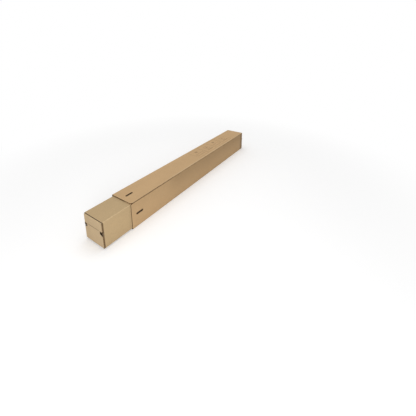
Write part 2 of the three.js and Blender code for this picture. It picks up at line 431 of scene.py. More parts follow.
# %% [markdown]
# ## A printed shape
#
# The top wall carries a faint brown print near the shut end, a plain row of squares with simple marks in
# them. An image would bring in a picture file, so each mark is drawn from its distance field: the
# distance from a rounded rectangle is short to write, it is exact at any scale, and its absolute value
# gives the outline instead of the filled shape.

# %% Group: printed rounded rectangle
SOFT_EDGE = 0.15


def make_stamp():
    group, given, result = new_group(
        "Printed rectangle",
        [("Across", "Float"), ("Along", "Float"), ("Half width", "Float"), ("Half length", "Float"),
         ("Corner", "Float"), ("Line", "Float")],
        [("Filled", "Float"), ("Outline", "Float")],
    )
    corner = given["Corner"]
    beyond = []
    for coordinate, half in (("Across", "Half width"), ("Along", "Half length")):
        straight = minus(group, given[half], corner)
        outside = minus(group, maths(group, "ABSOLUTE", given[coordinate]), straight)
        beyond.append(largest(group, outside, 0.0))
    squares = [product_of(group, side, side) for side in beyond]
    radius = maths(group, "SQRT", sum_of(group, *squares))
    distance = minus(group, radius, corner)
    half_line = product_of(group, given["Line"], 0.5)
    edge = minus(group, maths(group, "ABSOLUTE", distance), half_line)
    plug(group, ramp(group, distance, -SOFT_EDGE, SOFT_EDGE, 1.0, 0.0), result["Filled"])
    plug(group, ramp(group, edge, -SOFT_EDGE, SOFT_EDGE, 1.0, 0.0), result["Outline"])
    return group


STAMP = make_stamp()
print("group:", STAMP.name, len(STAMP.nodes), "nodes")

# %% [markdown]
# ## The printed panel
#
# The panel is four equal cells in a row along the wall. Four drawings would be four times the nodes.
# Instead the place along the wall is counted in cells. Its fraction is the place within one cell, where
# the marks are drawn once, and whether the cell's number is odd or even decides which of them show. Ink
# on kraft is thin and uneven, so noise wears it through.

# %% Group: printed panel
PANEL_FROM_END = 470.0
PANEL_START = OUTER_HIGH.y - PANEL_FROM_END
CELL_LENGTH = 86.0
CELL_COUNT = 4
CELL_MARGIN = 2.5
INK_CELL = (1.4, 1.4, 1.4)
INK_SPREAD = (0.2, 0.55)
LEAST_INK = 0.5

# Each mark's centre across the wall, half width, half length, corner radius and line width
MARKS = {
    "frame": (0.0, 41.0, CELL_LENGTH / 2 - CELL_MARGIN, 4.0, 1.6),
    "tube": (14.0, 9.0, 27.0, 1.5, 2.6),
    "disc": (-16.0, 9.0, 9.0, 9.0, 2.6),
    "bar": (22.0, 3.0, 24.0, 1.0, 1.0),
    "square": (-4.0, 15.0, 15.0, 2.0, 2.6),
    "dot": (-4.0, 6.0, 6.0, 6.0, 1.0),
}


def draw_mark(group, title, across, within):
    """One mark, drawn in the cell that the place lies in."""
    centre, half_width, half_length, corner, line = MARKS[title]
    return use_group(
        group, STAMP, Across=minus(group, across, centre), Along=within, Half_width=half_width,
        Half_length=half_length, Corner=corner, Line=line,
    )


def make_panel():
    group, given, result = new_group("Printed panel", [("Place", "Vector")], [("Ink", "Float")])
    across, along, height = axes(group, given["Place"])
    cell = maths(group, "DIVIDE", minus(group, along, PANEL_START), CELL_LENGTH)
    within = maths(group, "MULTIPLY_ADD", maths(group, "FRACT", cell), CELL_LENGTH, -CELL_LENGTH / 2)
    odd = maths(group, "MODULO", maths(group, "FLOOR", cell), 2.0)
    even = minus(group, 1.0, odd)
    mark = {title: draw_mark(group, title, across, within) for title in MARKS}
    even_marks = largest(group, mark["tube"]["Outline"], mark["disc"]["Filled"])
    odd_marks = largest(group, mark["square"]["Outline"], mark["dot"]["Filled"], mark["bar"]["Filled"])
    marks = largest(
        group,
        mark["frame"]["Outline"],
        product_of(group, even, even_marks),
        product_of(group, odd, odd_marks),
    )
    started = maths(group, "GREATER_THAN", cell, 0.0)
    unfinished = maths(group, "LESS_THAN", cell, float(CELL_COUNT))
    on_top = maths(group, "GREATER_THAN", height, OUTER_HIGH.z - 2 * ON_FACE)
    patchy = noise(group, given["Place"], INK_CELL, detail=3.0)
    worn = ramp(group, patchy, *INK_SPREAD, LEAST_INK, 1.0)
    plug(group, product_of(group, marks, started, unfinished, on_top, worn), result["Ink"])
    return group


PANEL = make_panel()
print("group:", PANEL.name, len(PANEL.nodes), "nodes, from", round(PANEL_START), "mm along the box")

# %% [markdown]
# ## From the effects to a material
#
# A sleeve and a flap are the same board, so they share one recipe, and only the distances differ. The
# recipe mixes the colour in this order: liner, tone and specks, paler rubbed folds, ink, painted shade and
# other darkening, the cut edge with its partly painted dark core and its painted light along the outer
# seam, and the painted shade of gaps. Heights are added up in millimetres and go to one Bump node, whose
# distance of one millimetre makes them true to scale. The Principled shader stays in the material itself.
# Paper has no metal and little gloss, and those numbers don't change over the surface, so they are set on
# its sockets.

# %% The board's recipe
PAPER = {"Metallic": 0.0, "IOR": 1.45, "Specular IOR Level": 0.3}
RUB_REACH = 7.0
WASHBOARD_SHADE = 0.03
DARK_SPECK_TINT = 0.45
PALE_SPECK_TINT = 0.4
RUB_TINT = 0.55
INK_TINT = 0.5
LEAST_ROUGHNESS = 0.68
CLOUD_ROUGHNESS = 0.16
RUB_ROUGHNESS = 0.12
CUT_ROUGHNESS = 0.15
WAVE_CELL = (55.0, 75.0, 55.0)
WAVE_HEIGHT = 1.2
FIBRE_HEIGHT = 0.05
WASHBOARD_HEIGHT = 0.06
RUB_HEIGHT = -0.12
CORE_HEIGHT = -0.35


def start_material(name):
    """An empty material, its shader and the place in millimetres on the object."""
    material = bpy.data.materials.new(name)
    material.use_nodes = True
    tree = material.node_tree
    tree.nodes.clear()
    shader = tree.nodes.new("ShaderNodeBsdfPrincipled")
    output = tree.nodes.new("ShaderNodeOutputMaterial")
    tree.links.new(shader.outputs[0], output.inputs["Surface"])
    for title, value in PAPER.items():
        shader.inputs[title].default_value = value
    coordinates = tree.nodes.new("ShaderNodeTexCoord")
    place = stretched(tree, coordinates.outputs["Object"], (MM, MM, MM))
    return material, shader, place


def board_colour(tree, effects, liner, inside, ink, painted_shade_and_darkening, seam_light, painted_gap_shade):
    """The colour of board, from the liner outwards."""
    fibres, washboard, rub, cut = effects
    colour = mix_colour(tree, inside, liner, INSIDE_LINER)
    middle_tone = sum_of(tree, fibres["Tone"], WASHBOARD_SHADE / 2)
    tone = maths(tree, "MULTIPLY_ADD", washboard, -WASHBOARD_SHADE, middle_tone)
    colour = mix_colour(tree, 1.0, colour, tone, "MULTIPLY")
    colour = tint(tree, colour, DARK_FLECK, fibres["Dark specks"], DARK_SPECK_TINT)
    colour = tint(tree, colour, PALE_FLECK, fibres["Pale specks"], PALE_SPECK_TINT)
    colour = tint(tree, colour, RUBBED_PAPER, rub, RUB_TINT)
    colour = tint(tree, colour, INK, ink, INK_TINT)
    # Painted shade in the slit beside the flap, under the outer seam and on the press line, and the far end's
    # darker band
    colour = mix_colour(tree, painted_shade_and_darkening, colour, SHADE_BROWN)
    # Along the outer seam the cut edge is painted paler, as painted light against the groove's shade
    colour = mix_colour(tree, cut["Cut"], colour, mix_colour(tree, seam_light, CUT_PAPER, SEAM_PAINTED_LIGHT))
    # The cut edge's dark core is partly the medium's colour and partly painted shade of the flute hollows
    colour = mix_colour(tree, cut["Core"], colour, mix_colour(tree, seam_light, CORE_PAPER_AND_SHADE, SEAM_PAINTED_LIGHT))
    # Painted shade of gaps: the top wall's cut end, the rims of slots and notches, and the ears
    return mix_colour(tree, painted_gap_shade, colour, GAP_SHADE)


def board_roughness(tree, effects):
    """Board is dull, and duller where it is rubbed or cut."""
    fibres, _, rub, cut = effects
    rough = sum_of(
        tree,
        product_of(tree, fibres["Clouds"], CLOUD_ROUGHNESS),
        product_of(tree, rub, RUB_ROUGHNESS),
        product_of(tree, cut["Cut"], CUT_ROUGHNESS),
        LEAST_ROUGHNESS,
    )
    return smallest(tree, rough, 1.0)


def board_height(tree, effects, place):
    """The fine relief in millimetres."""
    fibres, washboard, rub, cut = effects
    return sum_of(
        tree,
        product_of(tree, fibres["Height"], FIBRE_HEIGHT),
        product_of(tree, washboard, WASHBOARD_HEIGHT),
        product_of(tree, noise(tree, place, WAVE_CELL, detail=1.0), WAVE_HEIGHT),
        product_of(tree, rub, RUB_HEIGHT),
        product_of(tree, cut["Core"], CORE_HEIGHT),
    )


def add_bump(tree, shader, height):
    """Tilts the surface by a relief in millimetres."""
    bump = tree.nodes.new("ShaderNodeBump")
    plug(tree, MM, bump.inputs["Distance"])
    plug(tree, 1.0, bump.inputs["Strength"])
    plug(tree, height, bump.inputs["Height"])
    tree.links.new(bump.outputs[0], shader.inputs["Normal"])


def finish_board(material, shader, place, liner, along, fold_distance, depth, inside=0.0, ink=0.0,
                 painted_shade_and_darkening=0.0, seam_light=0.0, worn=0.0, painted_gap_shade=0.0):
    """Joins the effects into the shader, for board with that liner colour."""
    tree = material.node_tree
    fibres = use_group(tree, FIBRES, Place=place)
    washboard = use_group(tree, WASHBOARD, Place=place, Along=along)["Height"]
    folds = use_group(tree, RUB, Place=place, Distance=fold_distance, Reach=RUB_REACH)["Rub"]
    cut = use_group(tree, CUT, Place=place, Depth=depth)
    effects = (fibres, washboard, largest(tree, folds, worn), cut)
    colour = board_colour(tree, effects, liner, inside, ink, painted_shade_and_darkening, seam_light, painted_gap_shade)
    plug(tree, colour, shader.inputs["Base Color"])
    plug(tree, board_roughness(tree, effects), shader.inputs["Roughness"])
    add_bump(tree, shader, board_height(tree, effects, place))


print("the board's recipe is ready")

# %% [markdown]
# ## The sleeves
#
# On a sleeve every place follows from three distances: how far in from the side walls, from the top and
# from the bottom. The smaller of the two kinds says how deep a point is in the board, and the larger how
# far it is from the nearest long fold. At the shut end the side walls fold into the dust flaps, whose
# bend is liner and not a cut edge, so the depth is pushed past the board there. That bend lies in the
# dark slit beside the closing flap, and it gets a painted shade. Along the outer seam the raw edge is
# open and dark near the mouth. Further along, its raw edge is painted paler, as painted light against
# the groove's shade, and its top corner is pale, partly rubbed and partly a painted highlight. The right
# wall gets a painted shade under that seam, and its last few centimetres are darker still, in patches,
# with a pale line before them. The lock slots' rims and the cut end of the top wall above the closing
# flap get a dark painted shade.

# %% Materials of the sleeves
SHUT_END_DEPTH = 7.5
BEND_SHADE_WIDTH = 4.0
BEND_SHADE_FADE = (1.8, 3.6)
BEND_SHADE_WEIGHT = 0.85
GAP_SHADE_FADE = (0.1, 0.5)
GAP_SHADE_WEIGHT = 0.7
SLOT_FROM_MOUTH = 37.0
SLOT_RIM_HALF_WIDTH = 4.6
SLOT_RIM_HALF_LENGTH = 16.8
SLOT_SHADE_WEIGHT = 0.9
SEAM_OPEN_UNTIL = OUTER_LOW.y + 130.0
SEAM_LIGHT_FROM = OUTER_LOW.y + 300.0
SEAM_WEAR_FADE = (4.0, 8.0)
END_WEAR_OFFSET = 0.5
BAND_PATCH_CELL = (6.0, 6.0, 22.0)
BAND_PATCH_SPREAD = (0.3, 0.6)
LEAST_BAND = 0.4
MOST_BAND = 0.6
END_BAND = 30.0
END_LINE = END_BAND + 3.0
END_LINE_FADE = (1.5, 3.5)
WALL_SHADE_DEPTH = 100.0
WALL_SHADE_TOP = 0.32
WALL_SHADE_BOTTOM = 0.1
OPEN_SEAM_SHARE = 0.35


def rounded_depth(tree, from_side, from_level):
    """How deep a point lies under the sleeve's outside, whose long folds are round."""
    legs = [largest(tree, minus(tree, FOLD_RADIUS, leg), 0.0) for leg in (from_side, from_level)]
    squares = [product_of(tree, leg, leg) for leg in legs]
    round_part = minus(tree, FOLD_RADIUS, maths(tree, "SQRT", sum_of(tree, *squares)))
    straight = minus(tree, smallest(tree, from_side, from_level), FOLD_RADIUS)
    return sum_of(tree, round_part, largest(tree, straight, 0.0))


def painted_seam_light(tree, along):
    """How much painted light the outer seam gets: none near the mouth, and full further along."""
    return ramp(tree, along, SEAM_OPEN_UNTIL, SEAM_LIGHT_FROM)


def slot_rim_shade(tree, place, low, high):
    """Painted shade round a sleeve's two lock slots, one in the top and one in the right wall."""
    x, y, z = axes(tree, place)
    up = minus(tree, z, (low.z + high.z) / 2)
    on_top = maths(tree, "GREATER_THAN", z, high.z - ON_FACE)
    on_right = maths(tree, "GREATER_THAN", x, high.x - ON_FACE)
    across = sum_of(tree, product_of(tree, x, on_top), product_of(tree, up, on_right))
    along = minus(tree, y, OUTER_LOW.y + SLOT_FROM_MOUTH)
    rim = use_group(
        tree, STAMP, Across=across, Along=along, Half_width=SLOT_RIM_HALF_WIDTH,
        Half_length=SLOT_RIM_HALF_LENGTH, Corner=SLOT_RIM_HALF_WIDTH,
    )["Filled"]
    return product_of(tree, rim, largest(tree, on_top, on_right), SLOT_SHADE_WEIGHT)


def outer_marks(tree, place, from_side, from_top, from_shut, at_side):
    """What only the outer sleeve shows: its print, painted shade under its seam, a darker band at its far
    end, painted light on the seam and its pale lines.
    """
    x, y, _ = axes(tree, place)
    seam_light = painted_seam_light(tree, y)
    on_top = maths(tree, "LESS_THAN", from_top, ON_FACE)
    at_right = maths(tree, "GREATER_THAN", x, 0.0)
    right_wall = product_of(tree, at_side, at_right)
    # Pale strip on the top wall beside the seam, partly rubbed wear and partly a painted highlight
    seam_rub_and_highlight = product_of(tree, ramp(tree, from_side, *SEAM_WEAR_FADE, 1.0, 0.0), on_top, at_right, seam_light)
    # The right wall's last 30 mm are darker in patches, with a pale line 33 mm from the shut end
    end_line = ramp(tree, apart(tree, from_shut, END_LINE), *END_LINE_FADE, 1.0, 0.0)
    band_patches = noise(tree, place, BAND_PATCH_CELL, detail=3.0)
    band_strength = ramp(tree, band_patches, *BAND_PATCH_SPREAD, LEAST_BAND, MOST_BAND)
    end_band = product_of(tree, ramp(tree, from_shut, END_BAND - 1.0, END_BAND, 1.0, 0.0), band_strength)
    # Painted shade on the right wall under the seam, fading down the wall
    down_wall = ramp(tree, from_top, 0.0, WALL_SHADE_DEPTH, WALL_SHADE_TOP, WALL_SHADE_BOTTOM)
    under_seam_shade = product_of(tree, down_wall, ramp(tree, seam_light, 0.0, 1.0, OPEN_SEAM_SHARE, 1.0))
    return {
        "ink": use_group(tree, PANEL, Place=place)["Ink"],
        "painted_shade_and_darkening": product_of(tree, largest(tree, end_band, under_seam_shade), right_wall),
        "seam_light": seam_light,
        "worn": largest(tree, seam_rub_and_highlight, product_of(tree, end_line, right_wall)),
    }


def sleeve_material(name, low, high, shut_end, liner, printed):
    material, shader, place = start_material(name)
    tree = material.node_tree
    x, y, z = axes(tree, place)
    from_side = minus(tree, high.x, maths(tree, "ABSOLUTE", x))
    from_top = minus(tree, high.z, z)
    from_level = smallest(tree, from_top, minus(tree, z, low.z))
    from_end = smallest(tree, minus(tree, high.y, y), minus(tree, y, low.y))
    end_wear = sum_of(tree, from_end, END_WEAR_OFFSET)
    fold_distance = smallest(tree, largest(tree, from_side, from_level), end_wear)
    under_skin = rounded_depth(tree, from_side, from_level)
    inside = maths(tree, "GREATER_THAN", under_skin, BOARD - ON_FACE)
    from_shut = apart(tree, y, shut_end)
    at_shut_end = maths(tree, "LESS_THAN", from_shut, SHUT_END_DEPTH)
    at_side = maths(tree, "LESS_THAN", from_side, from_level)
    depth = sum_of(tree, under_skin, product_of(tree, at_shut_end, at_side, BOARD))
    # Painted shade on the bend in the dark slit beside the closing flap
    from_bend = largest(tree, from_shut, minus(tree, from_side, BEND_SHADE_WIDTH))
    painted_shade_and_darkening = product_of(tree, ramp(tree, from_bend, *BEND_SHADE_FADE, BEND_SHADE_WEIGHT, 0.0), at_side)
    # Painted shade on the top wall's cut end above the closing flap, and round the lock slots
    in_top = maths(tree, "LESS_THAN", from_top, BOARD + ON_FACE)
    end_gap_shade = product_of(tree, ramp(tree, from_shut, *GAP_SHADE_FADE, GAP_SHADE_WEIGHT, 0.0), in_top)
    painted_gap_shade = largest(tree, end_gap_shade, slot_rim_shade(tree, place, low, high))
    marks = outer_marks(tree, place, from_side, from_top, from_shut, at_side) if printed else {}
    marks["painted_shade_and_darkening"] = largest(tree, painted_shade_and_darkening, marks.get("painted_shade_and_darkening", 0.0))
    finish_board(material, shader, place, liner, y, fold_distance, depth, inside, painted_gap_shade=painted_gap_shade, **marks)
    return material


OUTER_BOARD = sleeve_material(
    "Outer kraft board", OUTER_LOW, OUTER_HIGH, OUTER_HIGH.y, OUTER_KRAFT, printed=True,
)
INNER_BOARD = sleeve_material(
    "Inner kraft board", INNER_LOW, INNER_HIGH, INNER_LOW.y, INNER_KRAFT, printed=False,
)
print("materials:", OUTER_BOARD.name, "and", INNER_BOARD.name)

# %% [markdown]
# ## The closing flaps
#
# The inner flap's liner is a shade paler than its sleeve's walls: painted light, because its face catches
# more light than they do. A flap's washboard lines run level, because its flutes run from side to side as
# on the wall it folds from. Depth is measured from the outside face. The round folds at its foot and its
# top are liner, so only the side edges and the notches count as cut: there the surface looks sideways or
# lies in the notches' band. The press line gets a painted shade in the middle of the flap, and the paper
# round the notches gets a dark painted shade, as round the lock slots.

# %% Materials of the flaps
NOTCH_TOP = 34.0
NOTCH_HEIGHT = 14.0
NOTCH_DEPTH = 12.5
NOTCH_INNER_HEIGHT = 9.0
NOTCH_SLANT = (NOTCH_HEIGHT - NOTCH_INNER_HEIGHT) / NOTCH_DEPTH
NOTCH_RIM = 2.2
NOTCH_SHADE_WEIGHT = 0.85
RIM_BESIDE = 0.4
RIM_FADE = 1.0
RIM_TOP_FADE = 0.8
PRESS_LINE_HALF = 28.0
PRESS_LINE_END = 34.0
PRESS_LINE_FADE = (0.8, 2.4)
PRESS_SHADE_WEIGHT = 0.4


def notch_rim_shade(tree, from_side, below_press):
    """Painted shade round a notch, whose lower edge slants."""
    below_slant = maths(tree, "MULTIPLY_ADD", from_side, NOTCH_SLANT, below_press)
    rim_top = -NOTCH_RIM / 2
    rim_bottom = NOTCH_HEIGHT + NOTCH_RIM
    rim_depth = NOTCH_DEPTH + RIM_BESIDE
    over_bottom = ramp(tree, below_slant, rim_bottom, rim_bottom + RIM_FADE, NOTCH_SHADE_WEIGHT, 0.0)
    under_top = ramp(tree, below_press, rim_top, rim_top + RIM_TOP_FADE)
    beside = ramp(tree, from_side, rim_depth, rim_depth + RIM_FADE, 1.0, 0.0)
    return product_of(tree, over_bottom, under_top, beside)


def press_line_shade(tree, x, below_press):
    """Painted shade along the middle of the press line."""
    near_press = ramp(tree, maths(tree, "ABSOLUTE", below_press), *PRESS_LINE_FADE, PRESS_SHADE_WEIGHT, 0.0)
    in_middle = ramp(tree, maths(tree, "ABSOLUTE", x), PRESS_LINE_HALF, PRESS_LINE_END, 1.0, 0.0)
    return product_of(tree, near_press, in_middle)


def flap_material(name, low, high, face, liner):
    material, shader, place = start_material(name)
    tree = material.node_tree
    x, y, z = axes(tree, place)
    from_side = minus(tree, high.x, maths(tree, "ABSOLUTE", x))
    from_top = minus(tree, high.z, z)
    from_bottom = minus(tree, z, low.z)
    from_face = apart(tree, y, face)
    fold_distance = smallest(tree, from_side, from_top, from_bottom)
    below_press = minus(tree, from_top, NOTCH_TOP)
    notch_end = (NOTCH_HEIGHT + ON_FACE, NOTCH_HEIGHT + 2 * ON_FACE)
    in_notch = band(tree, below_press, (-2 * ON_FACE, -ON_FACE), notch_end)
    at_side = ramp(tree, from_side, ON_FACE / 2, ON_FACE, 1.0, 0.0)
    depth = product_of(tree, from_face, largest(tree, in_notch, at_side))
    inside = maths(tree, "GREATER_THAN", from_face, BOARD - ON_FACE)
    finish_board(
        material, shader, place, liner, z, fold_distance, depth, inside,
        painted_shade_and_darkening=press_line_shade(tree, x, below_press), painted_gap_shade=notch_rim_shade(tree, from_side, below_press),
    )
    return material


flap_materials = {}
for node, liner in (("outer_end_flap", OUTER_KRAFT), ("inner_end_flap", LIT_FLAP_KRAFT)):
    low, high = millimetre_box(node)
    face = high.y if high.y > 0 else low.y
    flap_materials[node] = flap_material(f"Board of {node}", low, high, face, liner)
print("materials:", [material.name for material in flap_materials.values()])

# %% [markdown]
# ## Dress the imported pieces
#
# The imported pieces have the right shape, so they stay as they are. Each gets its board in its material
# slots.


# %% Give the nodes their materials
def dress(node, material):
    slots = NODES[node].material_slots
    if not slots:
        NODES[node].data.materials.append(material)
    for slot in slots:
        slot.material = material


dress("outer_sleeve", OUTER_BOARD)
dress("inner_sleeve", INNER_BOARD)
for node, material in flap_materials.items():
    dress(node, material)
print("dressed:", len(NODES), "nodes")

# %% [markdown]
# ## The wavy medium
#
# Where a cut crosses the flutes, the board is open and the wavy paper shows between its liners: down both
# sides of each closing flap, and all along each sleeve's seam. A drawing of waves on the edge would look
# flat from close by, so it is modelled. A long grid, as wide as the edge is deep, is bent into a sine
# wave and given its thickness with the solidify operator. One function makes it lying along X, and a
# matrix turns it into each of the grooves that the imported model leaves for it.

# %% Material of the medium
SEAM_LIGHT_TINT = 0.7
MEDIUM_DARK_SPECKS = 0.4
MEDIUM_PALE_SPECKS = 0.3
MEDIUM_ROUGHNESS = 0.8
MEDIUM_CLOUD_ROUGHNESS = 0.15
MEDIUM_FIBRE_HEIGHT = 0.06


def medium_material():
    material, shader, place = start_material("Fluted medium")
    tree = material.node_tree
    _, along, height = axes(tree, place)
    fibres = use_group(tree, FIBRES, Place=place)
    # Along the outer seam the medium is painted paler, as painted light against the groove's shade
    in_top_wall = maths(tree, "GREATER_THAN", height, OUTER_HIGH.z - BOARD)
    seam_light = product_of(tree, painted_seam_light(tree, along), in_top_wall)
    colour = tint(tree, MEDIUM_PAPER, SEAM_PAINTED_LIGHT, seam_light, SEAM_LIGHT_TINT)
    colour = mix_colour(tree, 1.0, colour, fibres["Tone"], "MULTIPLY")
    colour = tint(tree, colour, CORE_PAPER_AND_SHADE, fibres["Dark specks"], MEDIUM_DARK_SPECKS)
    colour = tint(tree, colour, CUT_PAPER, fibres["Pale specks"], MEDIUM_PALE_SPECKS)
    rough = maths(tree, "MULTIPLY_ADD", fibres["Clouds"], MEDIUM_CLOUD_ROUGHNESS, MEDIUM_ROUGHNESS)
    plug(tree, colour, shader.inputs["Base Color"])
    plug(tree, rough, shader.inputs["Roughness"])
    add_bump(tree, shader, product_of(tree, fibres["Height"], MEDIUM_FIBRE_HEIGHT))
    return material


MEDIUM = medium_material()
print("material:", MEDIUM.name)

# %% One strip of wavy medium
OPEN_EDGE_DEPTH = 3.0
MEDIUM_THICKNESS = 0.28
MEDIUM_SLACK = 0.04
STEPS_PER_FLUTE = 10


def wavy_strip(length, depth):
    """A wavy sheet in millimetres: from 0 to length along X, from 0 to -depth along Y, waves along Z."""
    strip = bmesh.new()
    steps = round(length / FLUTE_PITCH * STEPS_PER_FLUTE)
    bmesh.ops.create_grid(strip, x_segments=steps, y_segments=1, size=0.5)
    bmesh.ops.scale(strip, vec=(length, depth, 1.0), verts=strip.verts)
    bmesh.ops.translate(strip, vec=(length / 2, -depth / 2, 0.0), verts=strip.verts)
    wave_height = (BOARD - 2 * LINER - MEDIUM_THICKNESS) / 2 - MEDIUM_SLACK
    for vertex in strip.verts:
        vertex.co.z = wave_height * math.sin(2 * math.pi * vertex.co.x / FLUTE_PITCH)
    return strip


def add_piece(name, shape, matrix, material, body):
    """Puts a shape in millimetres in place, makes it an object and hangs it on its body."""
    bmesh.ops.transform(shape, matrix=Matrix.Scale(MM, 4) @ matrix, verts=shape.verts)
    bmesh.ops.recalc_face_normals(shape, faces=shape.faces)
    mesh = bpy.data.meshes.new(name)
    shape.to_mesh(mesh)
    shape.free()
    mesh.materials.append(material)
    piece = bpy.data.objects.new(name, mesh)
    bpy.context.scene.collection.objects.link(piece)
    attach(piece, body)
    return piece


def finish_strip(name, strip, matrix, body):
    """Gives the sheet its thickness, and makes a piece of it."""
    faces = list(strip.faces)
    bmesh.ops.solidify(strip, geom=faces, thickness=MEDIUM_THICKNESS)
    bmesh.ops.translate(strip, vec=(0.0, 0.0, MEDIUM_THICKNESS / 2), verts=strip.verts)
    add_piece(name, strip, matrix, MEDIUM, body)


print("strips are built with", STEPS_PER_FLUTE, "steps a flute")

# %% [markdown]
# ## The medium along the seams
#
# Each sleeve's seam is one raw edge as long as the sleeve, with its groove half way through the board.
# The outer one is at the top right, and the inner one at the bottom left. The matrix's columns say where
# the strip's three axes go. The outer strip starts behind the wall's rounded corner at the mouth, and the
# inner one behind the room in which the closing flap's round foot turns.

# %% Medium along the seams
MOUTH_CORNER = 9.0
FOOT_ROOM = 3.6
MARGIN = 0.1


def placing(along, inwards, waves, origin):
    """A matrix that turns X, -Y and Z into those directions, and starts at the origin."""
    columns = [Vector(along), -Vector(inwards), Vector(waves)]
    turn = Matrix(columns).transposed().to_4x4()
    return Matrix.Translation(origin) @ turn


outer_length = OUTER_HIGH.y - OUTER_LOW.y - MOUTH_CORNER - MARGIN
outer_start = Vector((OUTER_HIGH.x - MARGIN, OUTER_LOW.y + MOUTH_CORNER, OUTER_HIGH.z - BOARD / 2))
outer_place = placing((0, 1, 0), (-1, 0, 0), (0, 0, 1), outer_start)
outer_strip = wavy_strip(outer_length, OPEN_EDGE_DEPTH - MARGIN)
finish_strip("outer_seam_medium", outer_strip, outer_place, "outer_box")

inner_length = INNER_HIGH.y - INNER_LOW.y - FOOT_ROOM - MARGIN
inner_start = Vector((INNER_LOW.x + MARGIN, INNER_LOW.y + FOOT_ROOM, INNER_LOW.z + BOARD / 2))
inner_place = placing((0, 1, 0), (1, 0, 0), (0, 0, 1), inner_start)
inner_strip = wavy_strip(inner_length, OPEN_EDGE_DEPTH - MARGIN)
finish_strip("inner_seam_medium", inner_strip, inner_place, "inner_box")
print(f"medium along the seams: {outer_length:.0f} and {inner_length:.0f} mm")

# %% [markdown]
# ## The medium down the flaps' sides
#
# Each side edge of a closing flap is open twice: above the notch and below it. The notch's lower edge
# slants, so the lower strip is made a little long and then cut off by a plane along that slant, before it
# gets its thickness, so that the cut is closed. The left side's strips are the same with the inward
# direction the other way round.


# %% Medium down the flaps
def cut_along_slant(strip, edge_top):
    """Cuts off what lies beyond the notch's slanting lower edge."""
    everything = [*strip.verts, *strip.edges, *strip.faces]
    bmesh.ops.bisect_plane(strip, geom=everything, plane_co=(edge_top, 0.0, 0.0),
                           plane_no=(1.0, NOTCH_SLANT, 0.0), clear_outer=True)


def flap_medium(node, body):
    """The four strips of one flap. Gives the height of its press line."""
    low, high = millimetre_box(node)
    outwards = 1 if high.y > 0 else -1
    middle = (high.y if outwards > 0 else low.y) - outwards * BOARD / 2
    press = high.z - NOTCH_TOP
    spans = {
        "lower": (low.z + BOARD, press - NOTCH_INNER_HEIGHT),
        "upper": (press, high.z - FOLD_RADIUS),
    }
    for side, title in ((1, "right"), (-1, "left")):
        for level, (bottom, top) in spans.items():
            strip = wavy_strip(top - bottom - 2 * MARGIN, OPEN_EDGE_DEPTH - MARGIN)
            if level == "lower":
                cut_along_slant(strip, press - NOTCH_HEIGHT - bottom - 2 * MARGIN)
            start = Vector((side * (high.x - MARGIN), middle, bottom + MARGIN))
            place = placing((0, 0, 1), (-side, 0, 0), (0, 1, 0), start)
            finish_strip(f"{node}_medium_{level}_{title}", strip, place, body)
    return press


for node, body, slot in (("outer_end_flap", "outer_flap", "outer_board"),
                         ("inner_end_flap", "inner_flap", "inner_board")):
    print(f"{node}: medium above and below the press line at {flap_medium(node, body):.1f} mm")

# %% [markdown]
# ## The lock ears
#
# Each notch looks dark right to the flap's edge, so something must stand in it. The likeliest thing is a
# small ear of the side wall, cut free of the dust flap, that stays straight when the flap beside it is
# folded in. The imported sleeves stay as they are, so each ear is a small block of its own, sunk into the
# side wall. A cube made by an operator is scaled to the ear, which fills the notch but for some
# clearance, and gets a small bevel. Its board is layered from the side wall's outside inwards, so that
# its end shows liner, core and liner, as a cut does, and all of it gets a painted shade, because it
# stands in a dark gap.

# %% Ears in the notches
EAR_REACH = 3.0
EAR_CLEARANCE = 0.6
EAR_BEVEL = 0.25
EAR_HEIGHT = NOTCH_HEIGHT - NOTCH_SLANT * BOARD - 2 * EAR_CLEARANCE
# The ears get a painted shade, because they stand in a dark gap
EAR_PAINTED_SHADE = 0.65


def ear_material(name, half_width, liner):
    material, shader, place = start_material(name)
    tree = material.node_tree
    x, y, _ = axes(tree, place)
    depth = minus(tree, half_width, maths(tree, "ABSOLUTE", x))
    finish_board(material, shader, place, liner, y, 2 * BOARD, depth, painted_gap_shade=EAR_PAINTED_SHADE)
    return material


def lock_ear(name, side, half_width, shut_end, press, material, body):
    """One ear, on the side wall that side names, with its top just under the press line."""
    outwards = 1 if shut_end > 0 else -1
    size = Vector((BOARD - 2 * MARGIN, EAR_REACH + FOLD_RADIUS, EAR_HEIGHT))
    middle = Vector((
        side * (half_width - BOARD / 2),
        shut_end + outwards * (EAR_REACH - FOLD_RADIUS) / 2,
        press - EAR_CLEARANCE - EAR_HEIGHT / 2,
    ))
    ear = bmesh.new()
    bmesh.ops.create_cube(ear, size=1.0)
    bmesh.ops.scale(ear, vec=size, verts=ear.verts)
    edges = list(ear.edges)
    bmesh.ops.bevel(ear, geom=edges, offset=EAR_BEVEL, segments=2, profile=0.5, affect="EDGES", material=-1)
    return add_piece(name, ear, Matrix.Translation(middle), material, body)


SHUT_ENDS = (("outer", OUTER_KRAFT, OUTER_HIGH.y), ("inner", INNER_KRAFT, INNER_LOW.y))
for title, liner, shut_end in SHUT_ENDS:
    half_width = millimetre_box(f"{title}_sleeve")[1].x
    press = millimetre_box(f"{title}_end_flap")[1].z - NOTCH_TOP
    material = ear_material(f"Cut board of the {title} ears", half_width, liner)
    for side, side_title in ((1, "right"), (-1, "left")):
        ear = lock_ear(f"{title}_lock_ear_{side_title}", side, half_width, shut_end, press, material,
                       f"{title}_box")
        print(f"{ear.name}: {len(ear.data.polygons)} faces")

# %% [markdown]
# ## Floor and background
#
# The photograph's background is plain white. More light would bleach the board, so the white comes from
# the materials instead: rays from the camera, and the ones that gloss sends on, see white, and all other
# rays see a plain studio. Near the box the floor is an ordinary pale surface, lifted a little, so it
# keeps the soft shadow. From about half a metre from the box's middle it fades to pure white, and so no
# edge shows.

